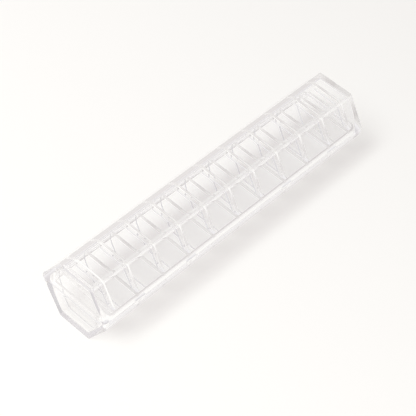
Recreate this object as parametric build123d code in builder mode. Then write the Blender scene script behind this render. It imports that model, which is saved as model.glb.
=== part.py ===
from build123d import *
import os
from math import radians, sin, tan

os.makedirs("parts", exist_ok=True)

# Clear box for ten thread bobbins: a long six-sided prism lying on one of its flats.
# It parts at half height into a tray and a lift-off lid, which nests over a lip on the tray.
# Millimetres. X runs along the box, Y across it, Z up, and the origin is under the tray's middle.

# Outside; the length follows from the dividers and walls
box_height = 26.0
rim_width = 27.6
parting_height = 13.0
side_slope = 58.0
end_draft = 0.2
corner_radius = 0.6
top_edge_radius = 0.4
foot_edge_radius = 0.5

# Lid
lid_rim_height = 2.0
lid_rim_wall = 1.95
lid_side_wall = 1.9
lid_top_wall = 1.9
lid_end_wall = 1.2
lid_hollow_corner = 3.6
lid_crease_radius = 1.5

# Tray; its foot follows from the rim and the slope
tray_floor = 2.0
tray_side_wall = 1.9
tray_rim_height = 1.6
tray_rim_inset = 0.3
tray_rim_overhang = 0.9
tray_end_overhang = 0.2
tray_upright = 1.55
cradle_radius = 8.0
floor_crease_radius = 2.5
end_crease_radius = 1.0

# Nesting lip on the tray
lip_height = 1.8
lip_wall = 0.7
lip_clearance = 0.1

# Dividers in the tray and the ribs above them in the lid
compartments = 10
divider_pitch = 11.4
end_divider_pitch = 10.2
divider_wall = 1.0
end_pocket = 2.85
rib_wall = 1.1
rib_depth = 2.0
rib_foot_gap = 0.7

# Lugs that keep the lid from sliding along the tray, counted from the middle divider
lug_dividers = (-4, -2, 2, 4)
lug_width = 4.1
lug_depth = 1.0
lug_height = 1.2
lug_clearance = 0.1

# Pegs at two opposite corners of the tray's rim
peg_diameter = 1.6
peg_height = 1.4
peg_clearance = 0.08
peg_lead_in = 0.2

# Sizes that follow from those above
rise = tan(radians(side_slope))
lean = 1 / sin(radians(side_slope))
middle_divider = compartments // 2
end_divider_x = (middle_divider - 1) * divider_pitch + end_divider_pitch
cavity_half_length = end_divider_x + divider_wall / 2 + end_pocket
lip_half_length = cavity_half_length + lip_wall
lid_hollow_half_length = lip_half_length + lip_clearance
half_length = lid_hollow_half_length + lid_end_wall
tray_half_length = half_length - tray_rim_inset
tray_body_half_length = tray_half_length - tray_end_overhang
rim_half = rim_width / 2
lid_hollow_half = rim_half - lid_rim_wall
lip_half = lid_hollow_half - lip_clearance
cavity_half = lip_half - lip_wall
tray_rim_half = rim_half - tray_rim_inset
tray_body_half = tray_rim_half - tray_rim_overhang
lip_corner = lid_hollow_corner - lip_clearance
cavity_corner = lip_corner - lip_wall
lid_crease_z = parting_height + lid_rim_height
lid_top_half = rim_half - (box_height - lid_crease_z) / rise
lip_top = parting_height + lip_height
tray_rim_z = parting_height - tray_rim_height
tray_turn_z = tray_rim_z - tray_upright
foot_half = tray_body_half - tray_turn_z / rise
rib_foot_z = lip_top + rib_foot_gap
beyond = 2 * half_length


def web_position(index):
    """Place along X of a divider and of the rib above it, from one end to the other."""
    step = index - middle_divider
    if abs(step) < middle_divider:
        return step * divider_pitch
    return end_divider_x if step > 0 else -end_divider_x


def both_sides(points):
    """Close a right-hand run of (y, z) points with its mirror image."""
    return points + [(-y, z) for y, z in reversed(points)]


def long_prism(points, half, fillets=()):
    """Extrude a (y, z) outline both ways along X, its corners rounded where (z, radius) says."""
    with BuildPart() as prism:
        with BuildSketch(Plane.YZ):
            with BuildLine():
                Polyline(*points, close=True)
            make_face()
            for level, radius in fillets:
                corners = [v for v in vertices() if abs(v.Y - level) < 0.01]
                if corners:
                    fillet(corners, radius)
        extrude(amount=half, both=True)
    return prism.part


def trim_ends(rim_half_length, rim_z, flat_z):
    """Side view that leans both ends in from the rim to the flat by the end draft."""
    flat = rim_half_length - end_draft
    with BuildPart() as wedge:
        with BuildSketch(Plane.XZ):
            with BuildLine():
                Polyline(
                    (-rim_half_length, rim_z),
                    (rim_half_length, rim_z),
                    (flat, flat_z),
                    (-flat, flat_z),
                    close=True,
                )
            make_face()
        extrude(amount=beyond, both=True)
    return wedge.part


def plan_block(half, width, corner, bottom, top):
    """Upright block with rounded corners in plan."""
    with BuildPart() as block:
        with BuildSketch(Plane.XY.offset(bottom)):
            RectangleRounded(2 * half, 2 * width, corner)
        extrude(amount=top - bottom)
    return block.part


def side_block(half, corner, bottom, top):
    """Block across the box with rounded corners as seen from the side."""
    with BuildPart() as block:
        with BuildSketch(Plane.XZ):
            with Locations((0, (bottom + top) / 2)):
                RectangleRounded(2 * half, top - bottom, corner)
        extrude(amount=rim_width, both=True)
    return block.part


def slab(position, wall):
    """Upright slab across the box, wide and tall enough to cut any section."""
    with BuildPart() as sheet:
        with BuildSketch(Plane.YZ.offset(position)):
            Rectangle(2 * rim_width, 4 * box_height)
        extrude(amount=wall / 2, both=True)
    return sheet.part


def lid_slope_y(z, inset):
    """Half width at height z of the lid's side face, moved inwards square to the face."""
    return rim_half - (z - lid_crease_z) / rise - inset * lean


def lid_slope_z(y, inset):
    return lid_crease_z + (rim_half - inset * lean - y) * rise


def tray_slope_y(z, inset):
    """Half width at height z of the tray's side face, moved inwards square to the face."""
    return foot_half + z / rise - inset * lean


def tray_slope_z(y, inset):
    return (y + inset * lean - foot_half) * rise


def lid_hollow_outline(gap, bottom):
    """Inside of the lid, drawn smaller all round by a gap."""
    side = lid_hollow_half - gap
    inset = lid_side_wall + gap
    top = box_height - lid_top_wall - gap
    return both_sides(
        [
            (side, bottom),
            (side, lid_slope_z(side, inset)),
            (lid_slope_y(top, inset), top),
        ]
    )


def down_a_corner(edge):
    """True for an edge that runs down a corner between a side and an end."""
    run = edge.bounding_box().size
    return run.Z > corner_radius and run.X <= end_draft


def tray_outer():
    """Tapering body under an upright rim that stands out all round it."""
    outline = both_sides(
        [
            (foot_half, 0),
            (tray_body_half, tray_turn_z),
            (tray_body_half, tray_rim_z),
        ]
    )
    with BuildPart() as outer:
        add(long_prism(outline, half_length))
        add(trim_ends(tray_body_half_length, tray_rim_z, 0), mode=Mode.INTERSECT)
        fillet(outer.edges().filter_by(down_a_corner), corner_radius)
        fillet(outer.faces().sort_by(Axis.Z)[0].edges(), foot_edge_radius)
        with BuildSketch(Plane.XY.offset(tray_rim_z)):
            RectangleRounded(2 * tray_half_length, 2 * tray_rim_half, corner_radius)
        extrude(amount=tray_rim_height)
    return outer.part


def lid_outer():
    outline = both_sides(
        [
            (rim_half, parting_height),
            (rim_half, lid_crease_z),
            (lid_top_half, box_height),
        ]
    )
    with BuildPart() as outer:
        add(long_prism(outline, half_length))
        add(trim_ends(half_length, parting_height, box_height), mode=Mode.INTERSECT)
        fillet(outer.edges().filter_by(down_a_corner), corner_radius)
        fillet(outer.faces().sort_by(Axis.Z)[-1].edges(), top_edge_radius)
    return outer.part


def tray_cavity():
    """Space inside the tray, from its floor to the top of the lip."""
    turn_z = tray_slope_z(cavity_half, tray_side_wall)
    outline = both_sides(
        [
            (tray_slope_y(tray_floor, tray_side_wall), tray_floor),
            (cavity_half, turn_z),
            (cavity_half, lip_top),
        ]
    )
    rounds = ((turn_z, cradle_radius), (tray_floor, floor_crease_radius))
    with BuildPart() as space:
        add(long_prism(outline, half_length, rounds))
        add(
            plan_block(cavity_half_length, cavity_half, cavity_corner, 0, box_height),
            mode=Mode.INTERSECT,
        )
        add(
            side_block(
                cavity_half_length, end_crease_radius, tray_floor, 2 * box_height
            ),
            mode=Mode.INTERSECT,
        )
    return space.part


def lid_hollow(gap=0.0):
    """Space inside the lid; with a gap, the largest thing that slips into it."""
    top = box_height - lid_top_wall - gap
    with BuildPart() as space:
        add(
            long_prism(
                lid_hollow_outline(gap, parting_height),
                half_length,
                ((top, lid_crease_radius),),
            )
        )
        add(
            plan_block(
                lid_hollow_half_length - gap,
                lid_hollow_half - gap,
                lid_hollow_corner - gap,
                0,
                box_height,
            ),
            mode=Mode.INTERSECT,
        )
        add(
            side_block(
                lid_hollow_half_length - gap, end_crease_radius, -box_height, top
            ),
            mode=Mode.INTERSECT,
        )
    return space.part


def lugs(clearance):
    """Blocks along both sides of the lip, or with a clearance the notches that take them."""
    reach = lug_depth + lip_wall / 2
    places = [
        (web_position(middle_divider + step), side * (lip_half + lug_depth - reach / 2))
        for step in lug_dividers
        for side in (-1, 1)
    ]
    with BuildPart() as blocks:
        with BuildSketch(Plane.XY.offset(parting_height)):
            with Locations(*places):
                Rectangle(lug_width + 2 * clearance, reach + 2 * clearance)
        extrude(amount=lug_height + clearance)
    return blocks.part


def peg_places():
    """Two opposite corners of the rim, half way between the lip's corner and the tray's."""
    bulge = lip_corner * (1 - sin(radians(45)))
    x = (lip_half_length - bulge + tray_half_length) / 2
    y = (lip_half - bulge + tray_rim_half) / 2
    return [(-x, -y), (x, y)]


def pegs(clearance):
    """Corner pegs, or with a clearance the sockets that take them."""
    with BuildPart() as posts:
        with BuildSketch(Plane.XY.offset(parting_height)):
            with Locations(*peg_places()):
                Circle(peg_diameter / 2 + clearance)
        extrude(amount=peg_height + clearance)
        if not clearance:
            chamfer(posts.faces().group_by(Axis.Z)[-1].edges(), peg_lead_in)
    return posts.part


cavity = tray_cavity()
hollow = lid_hollow()

with BuildPart() as tray_shell:
    add(lid_hollow(lip_clearance))
    add(plan_block(beyond, beyond, corner_radius, 0, lip_top), mode=Mode.INTERSECT)
    add(tray_outer())
    add(lugs(0))
    add(pegs(0))
    add(cavity, mode=Mode.SUBTRACT)
tray_shell.part.label = "tray_shell"
export_step(tray_shell.part, "parts/tray_shell.step")

with BuildPart() as lid_shell:
    add(lid_outer())
    add(hollow, mode=Mode.SUBTRACT)
    add(lugs(lug_clearance), mode=Mode.SUBTRACT)
    add(pegs(peg_clearance), mode=Mode.SUBTRACT)
lid_shell.part.label = "lid_shell"
export_step(lid_shell.part, "parts/lid_shell.step")

for index in range(compartments + 1):
    place = web_position(index)

    with BuildPart() as divider:
        add(cavity)
        add(slab(place, divider_wall), mode=Mode.INTERSECT)
    divider.part.label = f"divider_{index + 1:02d}"
    export_step(divider.part, f"parts/{divider.part.label}.step")

    with BuildPart() as rib:
        add(hollow)
        add(slab(place, rib_wall), mode=Mode.INTERSECT)
        add(
            long_prism(lid_hollow_outline(rib_depth, -box_height), half_length),
            mode=Mode.SUBTRACT,
        )
        split(bisect_by=Plane.XY.offset(rib_foot_z), keep=Keep.TOP)
    rib.part.label = f"lid_rib_{index + 1:02d}"
    export_step(rib.part, f"parts/{rib.part.label}.step")
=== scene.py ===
import math

import bmesh
import bpy
from mathutils import Matrix, Vector


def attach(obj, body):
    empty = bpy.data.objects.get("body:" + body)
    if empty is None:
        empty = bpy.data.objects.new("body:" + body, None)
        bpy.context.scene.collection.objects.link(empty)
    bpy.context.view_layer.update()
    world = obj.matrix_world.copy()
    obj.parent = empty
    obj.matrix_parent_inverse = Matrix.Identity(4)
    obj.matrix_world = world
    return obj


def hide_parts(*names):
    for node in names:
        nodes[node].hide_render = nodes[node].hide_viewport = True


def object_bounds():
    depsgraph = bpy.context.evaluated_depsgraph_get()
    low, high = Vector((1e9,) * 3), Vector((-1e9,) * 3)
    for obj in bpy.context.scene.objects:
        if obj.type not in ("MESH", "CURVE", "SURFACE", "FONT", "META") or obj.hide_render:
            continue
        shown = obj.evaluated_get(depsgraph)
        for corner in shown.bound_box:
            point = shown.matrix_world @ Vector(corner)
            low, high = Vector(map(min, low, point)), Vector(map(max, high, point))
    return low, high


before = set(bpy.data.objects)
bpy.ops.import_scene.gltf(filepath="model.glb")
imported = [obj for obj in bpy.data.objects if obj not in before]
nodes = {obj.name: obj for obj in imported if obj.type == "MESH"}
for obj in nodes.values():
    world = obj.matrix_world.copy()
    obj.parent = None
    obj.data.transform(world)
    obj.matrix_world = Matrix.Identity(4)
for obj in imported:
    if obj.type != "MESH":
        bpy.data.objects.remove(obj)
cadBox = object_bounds()
mm = 0.001  # in metres
partingMm = round(min(vert.co.z for vert in nodes["lid_shell"].data.vertices) / mm, 2)
print("frame loaded:", len(nodes), "nodes, the tray and the lid part at", partingMm, "mm")


def linearColour(hexCode, alpha=1.0):
    # sRGB hex to the linear values that shaders take
    parts = [int(hexCode[i : i + 2], 16) / 255 for i in (1, 3, 5)]
    linear = [c / 12.92 if c <= 0.04045 else ((c + 0.055) / 1.055) ** 2.4 for c in parts]
    return (*linear, alpha)


def addNode(tree, kind, settings=None, links=None):
    # settings are attributes or socket values, links are sources for sockets
    # a socket goes by its name, or by its number where the name isn't the only one
    node = tree.nodes.new(kind)
    for key, value in (settings or {}).items():
        if isinstance(key, int) or key in node.inputs:
            node.inputs[key].default_value = value
        else:
            setattr(node, key, value)
    for key, source in (links or {}).items():
        tree.links.new(source, node.inputs[key])
    return node


# Clear general-purpose polystyrene, injection moulded in a polished tool: glass-like gloss, IOR 1.59,
# a painted warm grey shade on light mirrored inside a wall seen edge on, slow ripples where the melt
# flowed and patches of fine scuffs, which are drawn coarser than real ones so that they show.
polystyreneLook = {
    "tint": "#FFFFFF",
    "ior": 1.59,
    "flowSizeMm": 9.0,
    "flowHeightMm": 0.008,
    "flowDetail": 1.0,
    "scuffSizeMm": 0.7,
    "scuffDetail": 3.0,
    "scuffRoughness": 0.06,
    "scuffedFrom": 0.55,  # scuffed where the noise is above this, and in full from the next value
    "scuffedTo": 0.8,
    "undimmed": "#FFFFFF",
    "paintedMirrorShade": "#E7E5E6",  # painted shade on light mirrored inside the wall, in full after the way in dimmedByMm
    "clearForMm": 1.6,
    "dimmedByMm": 5.0,
    "daylightTint": "#FBFBFB",
    "facedTint": "#FDFDFD",  # lamp light that meets a face squarely
    "grazedTint": "#E6E3E4",  # lamp light that only grazes it
    "grazingPower": 3.0,
}


def polishedFaces(tree, look):
    # what the eye sees of the plastic: gloss, refraction, ripples and scuffs
    coords = addNode(tree, "ShaderNodeTexCoord")
    flow = addNode(
        tree,
        "ShaderNodeTexNoise",
        {"Scale": 1 / (look["flowSizeMm"] * mm), "Detail": look["flowDetail"]},
        {"Vector": coords.outputs["Object"]},
    )
    scuff = addNode(
        tree,
        "ShaderNodeTexNoise",
        {"Scale": 1 / (look["scuffSizeMm"] * mm), "Detail": look["scuffDetail"]},
        {"Vector": coords.outputs["Object"]},
    )
    haze = addNode(
        tree,
        "ShaderNodeMapRange",
        {
            "From Min": look["scuffedFrom"],
            "From Max": look["scuffedTo"],
            "To Max": look["scuffRoughness"],
        },
        {"Value": scuff.outputs["Fac"]},
    )
    ripple = addNode(
        tree,
        "ShaderNodeBump",
        {"Strength": 1.0, "Distance": look["flowHeightMm"] * mm},
        {"Height": flow.outputs["Fac"]},
    )
    return addNode(
        tree,
        "ShaderNodeBsdfPrincipled",
        {
            "Base Color": linearColour(look["tint"]),
            "IOR": look["ior"],
            "Transmission Weight": 1.0,
        },
        {"Normal": ripple.outputs["Normal"], "Roughness": haze.outputs["Result"]},
    )


def paintedShadeOnMirrored(tree, look, path):
    # painted shade: light that the plastic mirrors inside is dimmed, once, by the way it has come
    # since, in place of the darker room it would meet
    depth = addNode(
        tree,
        "ShaderNodeMapRange",
        {"From Min": look["clearForMm"] * mm, "From Max": look["dimmedByMm"] * mm},
        {"Value": path.outputs["Ray Length"]},
    )
    dimmed = addNode(
        tree,
        "ShaderNodeMix",
        {
            "data_type": "RGBA",
            "A": linearColour(look["undimmed"]),
            "B": linearColour(look["paintedMirrorShade"]),
        },
        {"Factor": depth.outputs["Result"]},
    )
    return addNode(
        tree,
        "ShaderNodeMix",
        {"data_type": "RGBA", "B": linearColour(look["undimmed"])},
        {"Factor": path.outputs["Transparent Depth"], "A": dimmed.outputs["Result"]},
    )


def lampTint(tree, look):
    # a lamp's light is held back most by the faces that it only grazes
    slant = addNode(tree, "ShaderNodeLayerWeight")
    grazing = addNode(
        tree,
        "ShaderNodeMath",
        {"operation": "POWER", 1: look["grazingPower"]},
        {0: slant.outputs["Facing"]},
    )
    return addNode(
        tree,
        "ShaderNodeMix",
        {
            "data_type": "RGBA",
            "A": linearColour(look["facedTint"]),
            "B": linearColour(look["grazedTint"]),
        },
        {"Factor": grazing.outputs["Value"]},
    )


def polystyrene():
    look = polystyreneLook
    mat = bpy.data.materials.new("clearMouldedPolystyrene")
    mat.use_nodes = True
    tree = mat.node_tree
    tree.nodes.clear()
    path = addNode(tree, "ShaderNodeLightPath")
    surface = polishedFaces(tree, look).outputs["BSDF"]
    # a mirrored ray leaves by the next face under a painted shade, and daylight and lamps go straight
    # through
    tints = {
        "Is Reflection Ray": paintedShadeOnMirrored(tree, look, path),
        "Is Diffuse Ray": None,
        "Is Shadow Ray": lampTint(tree, look),
    }
    for ray, tint in tints.items():
        straight = addNode(
            tree,
            "ShaderNodeBsdfTransparent",
            {"Color": linearColour(look["daylightTint"])},
            {"Color": tint.outputs["Result"]} if tint else None,
        )
        pick = addNode(
            tree,
            "ShaderNodeMixShader",
            links={0: path.outputs[ray], 1: surface, 2: straight.outputs["BSDF"]},
        )
        surface = pick.outputs["Shader"]
    addNode(tree, "ShaderNodeOutputMaterial", links={"Surface": surface})
    return mat


mouldingEdges = {
    "sewnWithinMm": 0.0005,  # corners of neighbouring triangles closer than this are one
    "webOverlapMm": 0.05,  # how far a web reaches into the shell that it grows from
    "webShortMm": 0.2,  # how far its free end stays back from the level of the rim
    "freeEndWithinMm": 0.01,
    "weldedWithinMm": 0.002,  # corners that joining leaves closer than this are one
    "flatWithinDegrees": 0.6,  # faces that turn by less than this are one
    "airUnderMm": 0.04,  # a hair of air under each moulding, so that light meets one face at a time
    "squeezedMm": 0.5,  # the height that gives way to it
    "manyCorners": 8,  # a face with more corners than this is split into convex ones
    "sharpDegrees": (50, 130),  # outer corners in this range are rounded
    "rimRadiusMm": 0.3,
    "rimSteps": 3,
    "rimWithinMm": 0.35,  # both rims' sides lie this near to the sides of the whole
    "rimRoundMm": (0.65, 0.7),  # and their rounded corners this near to its ends and sides
    "rimHeightMm": 1.6,  # from the parting down to the underside of the tray's rim
    "rimLevelWithinMm": 0.06,
    "edgeRadiusMm": 0.12,
    "edgeSteps": 2,
    "shortestEdgeMm": 1.0,  # edges shorter than this, or beside smaller faces, stay sharp
    "smallestFaceMm2": 0.9,
    "mergedWithinMm": 0.001,  # corners that two roundings leave closer than this are one
    "creaseDegrees": 28,
}


def mergedCopy(name, members):
    # one mesh from copies of several nodes, with the loose triangles sewn together
    bm = bmesh.new()
    for member in members:
        bm.from_mesh(nodes[member].data)
    bmesh.ops.remove_doubles(bm, verts=bm.verts[:], dist=mouldingEdges["sewnWithinMm"] * mm)
    mesh = bpy.data.meshes.new(name)
    bm.to_mesh(mesh)
    bm.free()
    piece = bpy.data.objects.new(name, mesh)
    bpy.context.scene.collection.objects.link(piece)
    return piece


def pressedIn(webs, endAtTop):
    # webs reach a little way into the shell, and their free ends stop short of its rim
    reach = mouldingEdges["webOverlapMm"] * mm
    short = mouldingEdges["webShortMm"] * mm
    levels = [vert.co.z for vert in webs.data.vertices]
    freeLevel = max(levels) if endAtTop else min(levels)
    away = -1 if endAtTop else 1
    for vert in webs.data.vertices:
        atFreeEnd = abs(vert.co.z - freeLevel) < mouldingEdges["freeEndWithinMm"] * mm
        vert.co.z += away * (short if atFreeEnd else reach)
        vert.co.y += math.copysign(reach, vert.co.y)


def joined(piece, insert):
    # what the two make as one closed solid
    join = piece.modifiers.new("join", "BOOLEAN")
    join.operation = "UNION"
    join.solver = "EXACT"
    join.object = insert
    bpy.context.view_layer.update()
    depsgraph = bpy.context.evaluated_depsgraph_get()
    mesh = bpy.data.meshes.new_from_object(piece.evaluated_get(depsgraph))
    piece.modifiers.clear()
    bpy.data.objects.remove(insert)
    return mesh


def cleaned(bm):
    # one face for each flat, and no corners or wires left over from the joining
    edges = mouldingEdges
    bmesh.ops.remove_doubles(bm, verts=bm.verts[:], dist=edges["weldedWithinMm"] * mm)
    wires = [edge for edge in bm.edges if not edge.link_faces]
    bmesh.ops.delete(bm, geom=wires, context="EDGES")
    bmesh.ops.dissolve_limit(
        bm,
        angle_limit=math.radians(edges["flatWithinDegrees"]),
        verts=bm.verts[:],
        edges=bm.edges[:],
    )


def liftedClear(bm):
    # the foot gives way upwards, and all above it stays at its level
    foot = min(vert.co.z for vert in bm.verts)
    for vert in bm.verts:
        height = (vert.co.z - foot) / (mouldingEdges["squeezedMm"] * mm)
        vert.co.z += mouldingEdges["airUnderMm"] * mm * max(0.0, 1 - height)


def sharpEdges(bm):
    # outer corners of walls, webs and rims
    low, high = (math.radians(turn) for turn in mouldingEdges["sharpDegrees"])
    return [
        edge
        for edge in bm.edges
        if len(edge.link_faces) == 2 and low < edge.calc_face_angle_signed() < high
    ]


def onRim(vert):
    # true for corners along the outer edges of the two rims
    edges = mouldingEdges
    fromEnd = (cadBox[1][0] - abs(vert.co.x)) / mm
    fromSide = (cadBox[1][1] - abs(vert.co.y)) / mm
    nearEnd, nearSide = edges["rimRoundMm"]
    outside = min(fromEnd, fromSide) < edges["rimWithinMm"]
    atCorner = fromEnd < nearEnd and fromSide < nearSide
    belowParting = partingMm - vert.co.z / mm
    fromLevel = min(abs(belowParting), abs(belowParting - edges["rimHeightMm"]))
    return (outside or atCorner) and fromLevel < edges["rimLevelWithinMm"]


def rounded(bm, geom, radiusMm, steps):
    bmesh.ops.bevel(
        bm,
        geom=geom,
        offset=radiusMm * mm,
        offset_type="OFFSET",
        segments=steps,
        profile=0.5,
        affect="EDGES",
        clamp_overlap=False,
        material=-1,
    )


def edgesBroken(bm):
    # the rims' outer edges by a larger radius, then the free edges of walls and webs by a small one
    edges = mouldingEdges
    wide = [face for face in bm.faces if len(face.verts) > edges["manyCorners"]]
    bmesh.ops.connect_verts_concave(bm, faces=wide)
    rim = [edge for edge in sharpEdges(bm) if all(onRim(vert) for vert in edge.verts)]
    rounded(bm, rim, edges["rimRadiusMm"], edges["rimSteps"])
    free = [
        edge
        for edge in sharpEdges(bm)
        if edge.calc_length() > edges["shortestEdgeMm"] * mm
        and min(face.calc_area() for face in edge.link_faces) > edges["smallestFaceMm2"] * mm**2
    ]
    rounded(bm, free, edges["edgeRadiusMm"], edges["edgeSteps"])
    bmesh.ops.remove_doubles(bm, verts=bm.verts[:], dist=edges["mergedWithinMm"] * mm)


def shadedSmooth(bm):
    # roundings shade as one with their flats, and creases stay crisp
    crease = math.radians(mouldingEdges["creaseDegrees"])
    for face in bm.faces:
        face.smooth = True
    for edge in bm.edges:
        edge.smooth = edge.calc_face_angle(0) < crease


def oneMoulding(name, shell, webs, material, body, websEndAtTop):
    # the shell and its webs are one piece of plastic, so their touching faces are joined away
    piece = mergedCopy(name, [shell])
    insert = mergedCopy(name + "Webs", webs)
    pressedIn(insert, websEndAtTop)
    mesh = joined(piece, insert)
    bm = bmesh.new()
    bm.from_mesh(mesh)
    cleaned(bm)
    liftedClear(bm)
    edgesBroken(bm)
    shadedSmooth(bm)
    unclosed = sum(len(edge.link_faces) != 2 for edge in bm.edges)
    print(name, "joined:", len(bm.faces), "faces,", unclosed, "unclosed edges")
    bm.to_mesh(mesh)
    bm.free()
    piece.data = mesh
    mesh.materials.clear()
    mesh.materials.append(material)
    weight = piece.modifiers.new("evenShading", "WEIGHTED_NORMAL")
    weight.keep_sharp = True
    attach(piece, body)
    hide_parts(shell, *webs)


plastic = polystyrene()
dividers = sorted(name for name in nodes if name.startswith("divider_"))
ribs = sorted(name for name in nodes if name.startswith("lid_rib_"))
oneMoulding("tray", "tray_shell", dividers, plastic, "tray", websEndAtTop=True)
oneMoulding("lid", "lid_shell", ribs, plastic, "lid", websEndAtTop=False)
print("mouldings made")

# Matt white card under the box: hardly any gloss, so it shows nothing but the box's soft shadow
cardSheet = {"sizeM": 3.0, "colour": "#FAF9F7", "roughness": 0.6, "gloss": 0.2}


def cardFloor():
    bm = bmesh.new()
    bmesh.ops.create_grid(bm, x_segments=1, y_segments=1, size=cardSheet["sizeM"] / 2)
    mesh = bpy.data.meshes.new("floor")
    bm.to_mesh(mesh)
    bm.free()
    floor = bpy.data.objects.new("floor", mesh)
    bpy.context.scene.collection.objects.link(floor)
    mat = bpy.data.materials.new("matteWhiteCard")
    mat.use_nodes = True
    shader = mat.node_tree.nodes["Principled BSDF"]
    shader.inputs["Base Color"].default_value = linearColour(cardSheet["colour"])
    shader.inputs["Roughness"].default_value = cardSheet["roughness"]
    shader.inputs["Specular IOR Level"].default_value = cardSheet["gloss"]
    mesh.materials.append(mat)


cardFloor()

studio = {
    "wall": "#E2DBDF",
    "ceiling": "#F2F0F1",
    "ceilingFrom": 0.6,  # height on the unit sphere at which the pale ceiling begins
    "skirting": "#DEDDDF",  # the dim far side of the room, which thin edges pick up as lines
    "skirtingFrom": 0.03,
    "skirtingTo": 0.12,
    "keyPlaceM": (-1.45, 0.22, 2.0),
    "keySizeM": 0.9,
    "keyWatts": 82.5,
    "keyColour": "#FFFEFD",
}


def paleRoom():
    # the room is what gloss and glass show, and it lights nothing else
    world = bpy.data.worlds.new("paleRoom")
    bpy.context.scene.world = world
    world.use_nodes = True
    tree = world.node_tree
    tree.nodes.clear()
    coords = addNode(tree, "ShaderNodeTexCoord")
    axes = addNode(
        tree, "ShaderNodeSeparateXYZ", links={"Vector": coords.outputs["Generated"]}
    )
    height = addNode(
        tree,
        "ShaderNodeMapRange",
        {"From Max": studio["ceilingFrom"]},
        {"Value": axes.outputs["Z"]},
    )
    walls = addNode(
        tree,
        "ShaderNodeMix",
        {
            "data_type": "RGBA",
            "A": linearColour(studio["wall"]),
            "B": linearColour(studio["ceiling"]),
        },
        {"Factor": height.outputs["Result"]},
    )
    aboveSkirting = addNode(
        tree,
        "ShaderNodeMapRange",
        {"From Min": studio["skirtingFrom"], "From Max": studio["skirtingTo"]},
        {"Value": axes.outputs["Z"]},
    )
    wholeRoom = addNode(
        tree,
        "ShaderNodeMix",
        {"data_type": "RGBA", "A": linearColour(studio["skirting"])},
        {"Factor": aboveSkirting.outputs["Result"], "B": walls.outputs["Result"]},
    )
    room = addNode(
        tree, "ShaderNodeBackground", links={"Color": wholeRoom.outputs["Result"]}
    )
    addNode(tree, "ShaderNodeOutputWorld", links={"Surface": room.outputs["Background"]})
    world.cycles_visibility.diffuse = False
    world.cycles.sampling_method = "NONE"


def facing(place, aim):
    # a place from which a lamp or a camera looks at a point
    turn = (aim - place).to_track_quat("-Z", "Y").to_matrix().to_4x4()
    return Matrix.Translation(place) @ turn


def softbox():
    # the one lamp, which lights the card through the box
    lamp = bpy.data.lights.new("key", "AREA")
    lamp.shape = "SQUARE"
    lamp.size = studio["keySizeM"]
    lamp.energy = studio["keyWatts"]
    lamp.color = linearColour(studio["keyColour"])[:3]
    key = bpy.data.objects.new("key", lamp)
    bpy.context.scene.collection.objects.link(key)
    key.matrix_world = facing(Vector(studio["keyPlaceM"]), Vector())
    key.visible_glossy = False  # the softbox stays out of the reflections
    key.visible_transmission = False


paleRoom()
softbox()

viewpoint = {
    "placeMm": (-274.64, -207.21, 405.65),
    "aimMm": (-2.9, -1.8, 13.0),
    "rollDegrees": 7.913,
    "lensMm": 139.42,
    "clipM": (0.01, 10.0),
}


def camera():
    data = bpy.data.cameras.new("camera")
    data.lens = viewpoint["lensMm"]
    data.clip_start, data.clip_end = viewpoint["clipM"]
    eye = bpy.data.objects.new("camera", data)
    bpy.context.scene.collection.objects.link(eye)
    roll = Matrix.Rotation(math.radians(viewpoint["rollDegrees"]), 4, "Z")
    place = Vector(viewpoint["placeMm"]) * mm
    eye.matrix_world = facing(place, Vector(viewpoint["aimMm"]) * mm) @ roll
    bpy.context.scene.camera = eye


camera()

lightBounces = 64  # enough for a ray that passes through all eleven webs of a moulding


def lightPaths():
    scene = bpy.context.scene
    scene.view_settings.view_transform = "Standard"
    scene.cycles.max_bounces = lightBounces
    scene.cycles.glossy_bounces = lightBounces
    scene.cycles.transmission_bounces = lightBounces
    scene.cycles.transparent_max_bounces = lightBounces
    scene.cycles.caustics_reflective = False
    scene.cycles.caustics_refractive = False


lightPaths()
print("stage, lamp and camera set")
